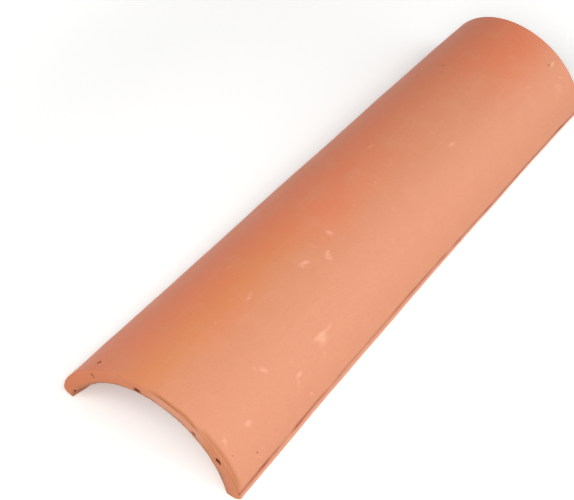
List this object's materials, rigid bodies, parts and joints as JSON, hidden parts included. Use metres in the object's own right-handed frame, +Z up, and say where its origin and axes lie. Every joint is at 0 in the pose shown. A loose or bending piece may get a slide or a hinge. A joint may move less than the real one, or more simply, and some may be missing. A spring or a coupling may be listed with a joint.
{
  "type": "clay roof tile",
  "caption": "Curved barrel roof tile of fired clay, a tapered half-round shell open below and at both ends, laid as cover or channel tile.",
  "frame": {"origin": "on the floor under the middle of the tile, between its two feet", "axes": "+Z up through the crown, +Y along the barrel from the wide end to the narrow end, +X to the right foot seen from the wide end"},
  "size_m": [0.1624, 0.48, 0.061],
  "materials": {
    "fired_clay": "matte, unglazed, lightly scuffed"
  },
  "bodies": {
    "root": {"barrel_tile": "fired_clay"}
  },
  "joints": []
}
